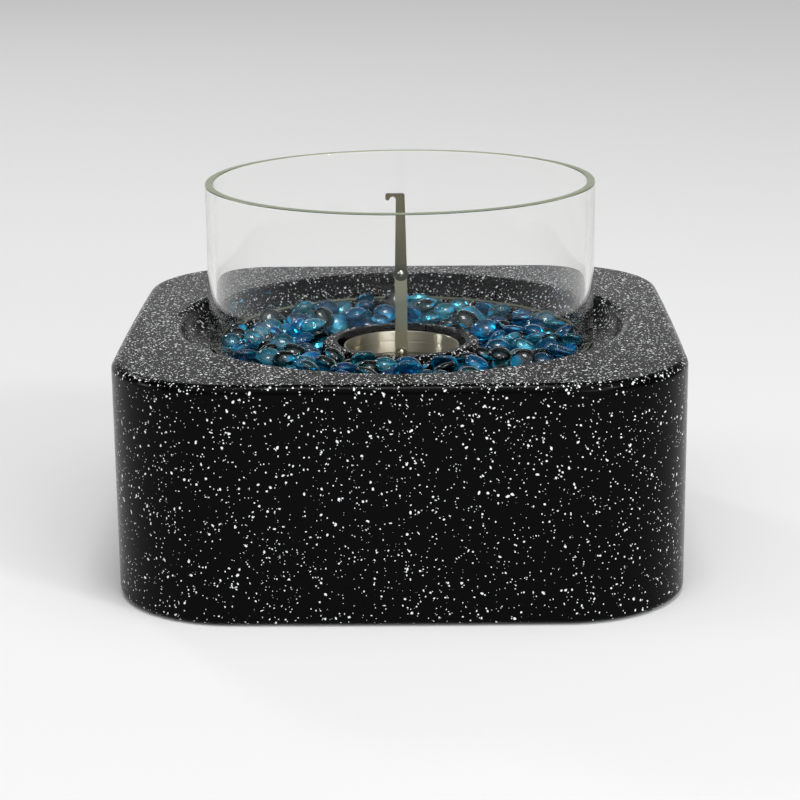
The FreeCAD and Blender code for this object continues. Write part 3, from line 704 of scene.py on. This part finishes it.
GLASS_WALL = 0.0048
RIM_ROUND = 0.001
FOOT_FROST = 0.0007
RIM_FROST = 0.0004
RIM_CORNER = math.radians(60)
glass_low, glass_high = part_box("glass_guard")
glass_outer = glass_high[0]
glass_inner = glass_outer - GLASS_WALL
ring = spin_profile([
    (glass_inner, glass_low[2]), (glass_outer, glass_low[2]),
    (glass_outer, glass_high[2]), (glass_inner, glass_high[2]), (glass_inner, glass_low[2]),
], steps=192)
corners = [edge for edge in ring.edges if edge.calc_face_angle() > RIM_CORNER]
bmesh.ops.bevel(ring, geom=corners, offset=RIM_ROUND, offset_type="OFFSET", affect="EDGES",
                segments=4, profile=0.5, material=-1)
clear_glass = make_clear_glass(glass_low[2] + FOOT_FROST, glass_high[2] - RIM_FROST)
guard = add_piece("glass_guard_ring", ring, clear_glass, smooth_below=60)
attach(guard, "glass")
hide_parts("glass_guard")


# ---- Table, lights and camera ----
# A matt white table top that runs out of sight, in a room whose far wall is palest at its foot
# and whose ceiling has a broad bright patch. Three light boxes hang high, to the right, overhead
# and behind the left, and two more stand low, one in front and one on the left.


def make_table_paint():
    """Matt white paint."""
    return start_material("matt_white_table", Base_Color=linear("#f2f2f2"), Roughness=0.9,
                          Specular_IOR_Level=0.1)[0]


TABLE_REACH = 30.0
table_shape = bmesh.new()
bmesh.ops.create_grid(table_shape, x_segments=1, y_segments=1, size=TABLE_REACH)
table = add_piece("table", table_shape, make_table_paint())

scene = bpy.context.scene
scene.view_settings.view_transform = "Standard"
CEILING_PATCH = (0.1, -0.4, 0.911)


def make_room():
    """A room in greys: the far wall, palest at its foot, and the bright patch of the ceiling."""
    room = bpy.data.worlds.new("room")
    room.use_nodes = True
    tree = room.node_tree
    direction = add_node(tree, "TexCoord", {}).outputs["Generated"]
    heading = add_node(tree, "SeparateXYZ", {"Vector": direction})
    foot = remap(tree, heading.outputs["Z"], 0.2, 0.235, 0.45, 0.0)
    wall = remap(tree, heading.outputs["Z"], 0.28, 0.36, 0.42, 0.12)
    far = remap(tree, heading.outputs["Y"], 0.5, 0.85, 0.3, 1.0)
    low = number_math(tree, "MULTIPLY", number_math(tree, "ADD", foot, wall), far)
    towards = vector_math(tree, "DOT_PRODUCT", direction, CEILING_PATCH)
    high = remap(tree, towards, 0.6, 0.95, 0.0, 1.27)
    background = tree.nodes["Background"]
    tree.links.new(number_math(tree, "ADD", low, high), background.inputs["Color"])
    background.inputs["Strength"].default_value = 1.0
    return room


scene.world = make_room()


def add_light_box(name, place, target, width, depth, power):
    """Hang a rectangular soft light at a place, aimed at a target."""
    lamp = bpy.data.lights.new(name, "AREA")
    lamp.shape = "RECTANGLE"
    lamp.size, lamp.size_y = width, depth
    lamp.energy = power
    box = bpy.data.objects.new(name, lamp)
    aim = (Vector(target) - Vector(place)).to_track_quat("-Z", "Y")
    box.matrix_world = Matrix.Translation(place) @ aim.to_matrix().to_4x4()
    scene.collection.objects.link(box)


LIT_POINT = (0, 0, 0.1)
for name, place, width, depth, power in (
        ("right_box", (2.6, -2.43, 2.4), 0.6, 0.6, 32.0),
        ("top_box", (0.1, -0.5, 2.9), 0.8, 0.8, 24.5),
        ("left_box", (-1.8, 2.6, 2.4), 0.5, 0.5, 12.0),
        ("front_strip", (1.1, -2.1, 0.75), 0.9, 0.6, 13.0),
        ("left_strip", (-2.3, -0.15, 0.7), 0.5, 0.5, 8.0)):
    add_light_box(name, place, LIT_POINT, width, depth, power)

CAMERA_AWAY = 1.4093
CAMERA_ABOVE = 15.097
CAMERA_TURN = 0.766
CAMERA_ROLL = -0.554
LOOK_AT = Vector((0, 0, 0.0837))
camera_data = bpy.data.cameras.new("camera")
camera_data.sensor_width = 36.0
camera_data.lens = 102.58
camera_data.shift_x = -0.00266
camera_data.shift_y = 0.0057
camera = bpy.data.objects.new("camera", camera_data)
orbit = Matrix.Rotation(math.radians(CAMERA_TURN), 4, "Z")
tip = Matrix.Rotation(math.radians(90 - CAMERA_ABOVE), 4, "X")
roll = Matrix.Rotation(math.radians(CAMERA_ROLL), 4, "Z")
camera.matrix_world = (Matrix.Translation(LOOK_AT) @ orbit @ tip
                       @ Matrix.Translation((0, 0, CAMERA_AWAY)) @ roll)
scene.collection.objects.link(camera)
scene.camera = camera
